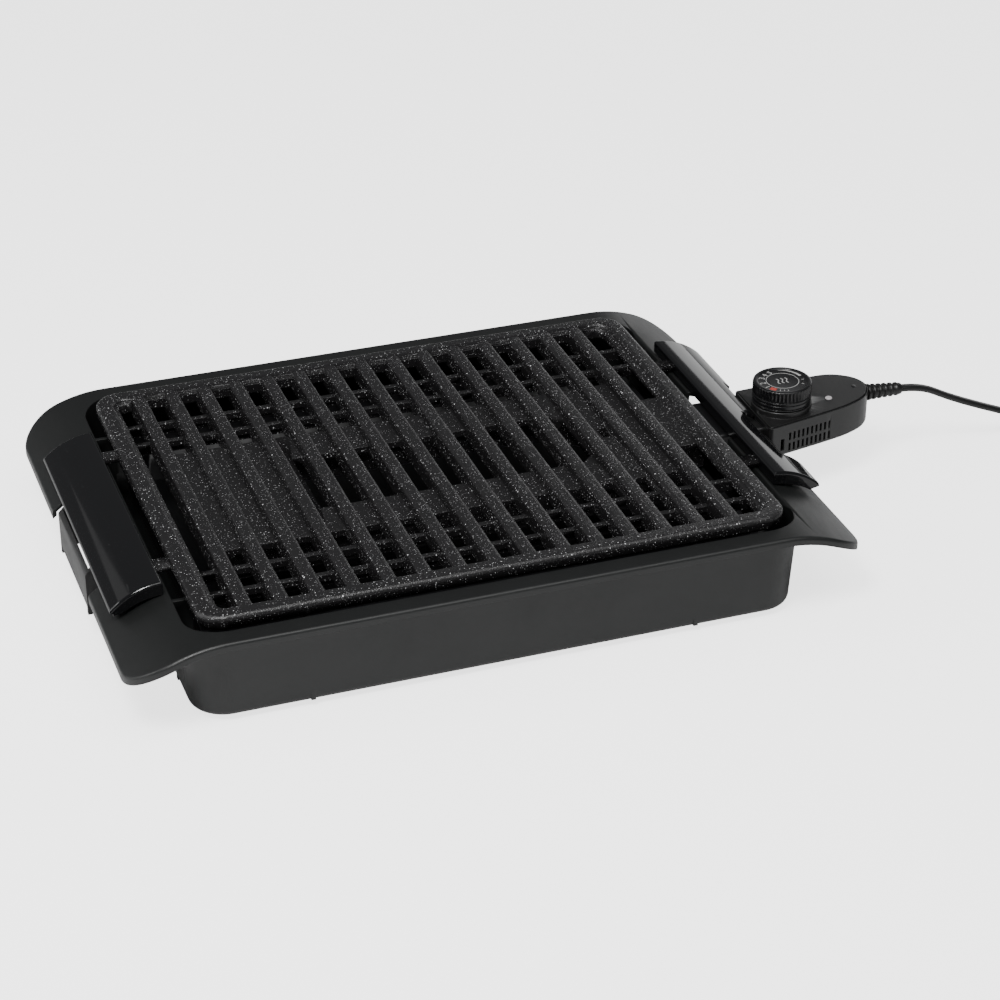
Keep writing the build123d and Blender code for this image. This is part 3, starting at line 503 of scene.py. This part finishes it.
# knob: grooved skirt, fluted grip band and a sunken dial
knob = {
    "centre": (0.2629, 0, 0), "flutes": 48, "perFlute": 5, "fluteDepth": 0.0009, "gripRadius": 0.0205,
    "band": (0.0757, 0.0828),
    "profile": [
        (0, 68.7), (19.6, 68.7), (20.4, 68.8), (20.9, 69.2), (20.9, 69.8), (20.3, 70.0), (20.3, 70.4),
        (20.9, 70.6), (20.9, 72.8), (20.3, 73.0), (20.3, 73.4), (20.9, 73.6), (20.9, 75.1), (20.2, 75.3),
        (20.2, 75.6), (20.95, 75.9), (20.95, 79), (20.95, 82.5), (20.6, 83.3), (20.1, 83.8), (19.4, 83.97),
        (18.4, 83.97), (17.8, 83.85), (17.4, 83.5), (17.3, 83.25), (16.9, 83.2), (0, 83.2),
    ],
}
knobShape = lathe(
    [(r / 1000, z / 1000) for r, z in knob["profile"]], knob["flutes"] * knob["perFlute"], knob["centre"]
)
for vert in knobShape.verts:  # press the flutes into the grip band
    out = Vector((vert.co.x - knob["centre"][0], vert.co.y, 0))
    if out.length > knob["gripRadius"] and knob["band"][0] < vert.co.z < knob["band"][1]:
        wave = 0.5 - 0.5 * math.cos(knob["flutes"] * math.atan2(out.y, out.x))
        vert.co -= out.normalized() * knob["fluteDepth"] * wave
knobPiece = addPiece("knob", meshFrom("knob", knobShape), plain["knobSatin"], "knob", 40)
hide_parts("knob_cap", "knob_dial")

dial = {  # millimetres and degrees
    "level": 83.2, "rise": 0.1, "sink": 0.02, "wedgeTip": 0.25,
    # the outer white ring, 18.5 to 18.7 mm, is a painted highlight along the dial's rim edge; the inner ring
    # is printed
    "rings": [(11.3, 11.75, 0, 360), (18.5, 18.7, 0, 360)], "wedge": (77, -66, 14.4, 16.4),
    "numerals": [201, 177, 147, 125, 104], "numeralRadius": 14.4, "numeralSize": 6.2,
    "ticks": [350, 324, 262, 251, 240], "tick": (13.8, 15.6, 0.5), "mark": (220, 14.6, 3.6, 4.6),
    "waves": (-3.2, 0, 3.2), "wave": (7.6, 0.8, 0.8),
}


def ringStrip(shape, near, far, start, sweep, steps=96):  # flat band between two radii
    turn = Matrix.Rotation(math.radians(start), 3, "Z")
    ends = [shape.verts.new(turn @ Vector((r, 0, 0))) for r in (near, far)]
    edge = shape.edges.new(ends)
    bmesh.ops.spin(
        shape, geom=ends + [edge], cent=(0, 0, 0), axis=(0, 0, 1), angle=math.radians(sweep), steps=steps,
        use_merge=abs(sweep) == 360,
    )


def plateMark(shape, sizeX, sizeY, place, turn, cuts=1):  # small flat rectangle on the dial
    made = bmesh.ops.create_grid(shape, x_segments=1, y_segments=cuts, size=0.5)["verts"]
    bmesh.ops.scale(shape, vec=(sizeX, sizeY, 1), verts=made)
    bmesh.ops.rotate(shape, cent=(0, 0, 0), matrix=Matrix.Rotation(math.radians(turn), 3, "Z"), verts=made)
    bmesh.ops.translate(shape, vec=(*place, 0), verts=made)
    return made


def numeral(shape, text, angle):  # numeral standing on its radius, its foot to the middle
    curve = bpy.data.curves.new("numeral", "FONT")
    curve.body = text
    curve.size = dial["numeralSize"]
    curve.align_x, curve.align_y = "CENTER", "CENTER"
    letter = bpy.data.objects.new("numeral", curve)
    bpy.context.collection.objects.link(letter)
    mesh = meshOf(letter)
    bpy.data.objects.remove(letter)
    outward = Matrix.Rotation(math.radians(angle), 4, "Z") @ Matrix.Translation((dial["numeralRadius"], 0, 0))
    mesh.transform(outward @ Matrix.Rotation(math.radians(-90), 4, "Z"))
    shape.from_mesh(mesh)


def raiseMarks(shape):  # thickens the flat marks and sets them on the dial
    bmesh.ops.remove_doubles(shape, verts=shape.verts, dist=1e-4)
    for face in shape.faces:
        face.normal_update()
        if face.normal.z < 0:
            face.normal_flip()
    grown = bmesh.ops.extrude_face_region(shape, geom=list(shape.faces))["geom"]
    bmesh.ops.translate(
        shape, vec=(0, 0, dial["rise"]), verts=[g for g in grown if isinstance(g, bmesh.types.BMVert)]
    )
    bmesh.ops.translate(shape, vec=(0, 0, dial["level"] - dial["sink"]), verts=shape.verts)
    bmesh.ops.scale(shape, vec=(0.001, 0.001, 0.001), verts=shape.verts)
    bmesh.ops.translate(shape, vec=knob["centre"], verts=shape.verts)
    return shape


# white marks: printed ring, band, numerals, ticks and waves, plus the painted highlight ring at the dial's
# rim
whiteMarksAndRimHighlight = bmesh.new()
# the inner ring is print; the outer ring is a painted highlight standing in for light on the rim edge
for near, far, start, sweep in dial["rings"]:
    ringStrip(whiteMarksAndRimHighlight, near, far, start, sweep)
wedgeStart, wedgeSweep, wedgeNear, wedgeFar = dial["wedge"]
before = set(whiteMarksAndRimHighlight.verts)
ringStrip(whiteMarksAndRimHighlight, wedgeNear, wedgeFar, wedgeStart, wedgeSweep, 32)
for vert in set(whiteMarksAndRimHighlight.verts) - before:  # the band grows from a point to its full width
    along = (wedgeStart - math.degrees(math.atan2(vert.co.y, vert.co.x))) / -wedgeSweep
    if vert.co.length < (wedgeNear + wedgeFar) / 2:
        tipRadius = wedgeFar - dial["wedgeTip"]
        vert.co = vert.co.normalized() * (tipRadius - (tipRadius - wedgeNear) * along)
for index, angle in enumerate(dial["numerals"]):
    numeral(whiteMarksAndRimHighlight, str(index + 1), angle)
for angle in dial["ticks"]:
    near, far, width = dial["tick"]
    middle = (near + far) / 2
    spot = (middle * math.cos(math.radians(angle)), middle * math.sin(math.radians(angle)))
    plateMark(whiteMarksAndRimHighlight, far - near, width, spot, angle)
for x in dial["waves"]:  # three rising waves of heat in the middle
    height, swing, width = dial["wave"]
    for vert in plateMark(whiteMarksAndRimHighlight, width, height, (x, 0), 0, 16):
        vert.co.x += swing * math.sin(vert.co.y * 2 * math.pi / height)
addPiece(
    "dial_marks_and_rim_highlight", meshFrom("dial_marks_and_rim_highlight", raiseMarks(whiteMarksAndRimHighlight)), plain["dialWhite"], "knob"
)
redMark = bmesh.new()
angle, middle, length, width = dial["mark"]
spot = (middle * math.cos(math.radians(angle)), middle * math.sin(math.radians(angle)))
plateMark(redMark, length, width, spot, angle)
addPiece(
    "dial_off_mark", meshFrom("dial_off_mark", raiseMarks(redMark)), plain["dialRed"], "knob"
)
print("knob and dial")

# strain relief: flanges and a tapered sleeve of soft rings round the lead
relief = {
    "profile": [  # distance along the lead and radius, mm
        (0, 3.3), (0, 6.2), (0.5, 6.6), (2.8, 6.6), (3.2, 6.2), (3.4, 4.3), (12.2, 4.3), (12.4, 5.7),
        (12.8, 6.0), (14.3, 6.0), (14.8, 5.6), (15.2, 4.5),
    ],
    "rings": 5, "firstRing": 16.4, "pitch": 4.5, "ringWide": 2.6, "ringRadii": (5.7, 4.9), "neck": 4.25,
    "ringFoot": 0.15, "ringShoulder": 0.1, "ringCrown": 0.6, "ringSoften": 0.5,
    "tip": [(38.8, 4.2), (39.6, 3.9), (39.6, 3.3), (0, 3.3)], "steps": 40,
}
reliefLine = [(r / 1000, along / 1000) for along, r in relief["profile"]]
for k in range(relief["rings"]):
    near = relief["firstRing"] + k * relief["pitch"]
    firstRadius, lastRadius = relief["ringRadii"]
    radius = firstRadius + (lastRadius - firstRadius) * k / (relief["rings"] - 1)
    wide, crown, shoulder = relief["ringWide"], relief["ringCrown"], relief["ringShoulder"]
    low = radius - relief["ringSoften"]
    outline = [
        (-relief["ringFoot"], relief["neck"]), (shoulder, low), (crown, radius),
        (wide - crown, radius), (wide - shoulder, low), (wide + relief["ringFoot"], relief["neck"]),
    ]
    reliefLine += [(r / 1000, (near + step) / 1000) for step, r in outline]
reliefLine += [(r / 1000, along / 1000) for along, r in relief["tip"]]
reliefShape = lathe(reliefLine, relief["steps"])
bmesh.ops.rotate(
    reliefShape, cent=(0, 0, 0), matrix=Matrix.Rotation(math.radians(90 + lead["droop"]), 3, "Y"),
    verts=reliefShape.verts
)
bmesh.ops.translate(reliefShape, vec=lead["start"], verts=reliefShape.verts)
reliefPiece = addPiece(
    "strain_relief_sleeve", meshFrom("strain_relief_sleeve", reliefShape), plain["flexVinyl"], "thermostat",
    50
)
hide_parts("strain_relief")

# plug: moulded block with grip ribs and a neck for the lead
plug = {
    "from": 0.458, "to": 0.489, "place": (-0.062, 0.008), "size": (0.025, 0.015), "edge": 0.0016,
    # each step's reach and what it keeps of the width
    "neck": 0.007, "neckSteps": [(0.004, 0.62), (0.003, 0.66)], "neckTaller": 0.16,
    "ribs": 4, "ribStart": 0.007, "ribPitch": 0.0036, "rib": (0.0016, 0.0012, 0.0085), "ribSink": 0.0002,
    "ribEdge": 0.0004,
}
plugShape = bmesh.new()
bmesh.ops.create_cube(plugShape, size=1)
bmesh.ops.scale(
    plugShape, vec=(plug["to"] - plug["from"] - plug["neck"], *plug["size"]), verts=plugShape.verts
)
middle = (plug["from"] + plug["to"] - plug["neck"]) / 2
bmesh.ops.translate(plugShape, vec=(middle, *plug["place"]), verts=plugShape.verts)
neckFace = max(plugShape.faces, key=lambda face: face.calc_center_median().x)
for reach, keep in plug["neckSteps"]:  # the back end draws in to the lead
    neckFace = bmesh.ops.extrude_discrete_faces(plugShape, faces=[neckFace])["faces"][0]
    centre = neckFace.calc_center_median()
    bmesh.ops.translate(plugShape, vec=(reach, 0, 0), verts=neckFace.verts)
    for vert in neckFace.verts:
        vert.co.y = centre.y + (vert.co.y - centre.y) * keep
        vert.co.z = centre.z + (vert.co.z - centre.z) * (keep + plug["neckTaller"])
bmesh.ops.bevel(
    plugShape, geom=list(plugShape.edges), offset=plug["edge"], offset_type="OFFSET", segments=3, profile=0.5,
    affect="EDGES", material=-1, clamp_overlap=True,
)
for side in (-1, 1):
    for k in range(plug["ribs"]):
        made = bmesh.ops.create_cube(plugShape, size=1)["verts"]
        bmesh.ops.scale(plugShape, vec=plug["rib"], verts=made)
        along = plug["from"] + plug["ribStart"] + k * plug["ribPitch"]
        spot = (along, plug["place"][0] + side * (plug["size"][0] / 2 - plug["ribSink"]), plug["place"][1])
        bmesh.ops.translate(plugShape, vec=spot, verts=made)
        rib = list({e for v in made for e in v.link_edges})
        bmesh.ops.bevel(
            plugShape, geom=rib, offset=plug["ribEdge"], segments=2, profile=0.5, affect="EDGES", material=-1
        )
plugPiece = addPiece("plug", meshFrom("plug", plugShape), plain["flexVinyl"], "thermostat", 45)
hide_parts("plug_body")
print("strain relief and plug")

# lights and floor
studio = {
    "world": (0.96, 0.98, 1.0), "worldStrength": 0.16, "floor": (0.84, 0.84, 0.84), "floorLift": 2.3,
    "floorSize": 6, "floorRoughness": 0.9,
    "lamps": [  # name, place, aimed at, size, watts
        ("key", (-0.75, -0.9, 1.8), (0, 0, 0), (0.6, 0.6), 40),
        ("top", (0.3, -1.0, 2.2), (0, 0, 0), (2.0, 1.2), 26),
        ("rightBack", (1.8, 1.7, 0.45), (0.2, 0, 0.05), (1.5, 0.7), 5),
        ("backLeft", (-1.5, 1.6, 1.3), (-0.2, 0, 0.05), (1.2, 1.0), 1),
        ("left", (-2.0, 0.3, 1.0), (0, 0, 0.03), (0.8, 1.2), 15),
    ],
}
world = bpy.data.worlds.new("studio")
world.use_nodes = True
world.node_tree.nodes["Background"].inputs[0].default_value = (*studio["world"], 1)
world.node_tree.nodes["Background"].inputs[1].default_value = studio["worldStrength"]
bpy.context.scene.world = world
for name, place, aim, size, watts in studio["lamps"]:
    lamp = bpy.data.lights.new(name, "AREA")
    lamp.shape = "RECTANGLE"
    lamp.size, lamp.size_y = size
    lamp.energy = watts
    holder = bpy.data.objects.new(name, lamp)
    bpy.context.collection.objects.link(holder)
    holder.location = place
    holder.rotation_euler = (Vector(aim) - Vector(place)).to_track_quat("-Z", "Y").to_euler()
floorShape = bmesh.new()
bmesh.ops.create_grid(floorShape, x_segments=1, y_segments=1, size=studio["floorSize"])
floorMesh = meshFrom("floor", floorShape)
floorMaterial, floorTree, floorSurface, _ = startMaterial("floorPaper", Roughness=studio["floorRoughness"])
floorSurface.inputs["Base Color"].default_value = (*studio["floor"], 1)
floorSurface.inputs["Emission Color"].default_value = (1, 1, 1, 1)
# the paper glows for the camera only, and lights nothing
seen = addNode(floorTree, "LightPath").outputs["Is Camera Ray"]
floorTree.links.new(
    mathNode(floorTree, "MULTIPLY", seen, studio["floorLift"]), floorSurface.inputs["Emission Strength"]
)
floorMesh.materials.append(floorMaterial)
floor = bpy.data.objects.new("floor", floorMesh)
bpy.context.collection.objects.link(floor)
print("studio ready")
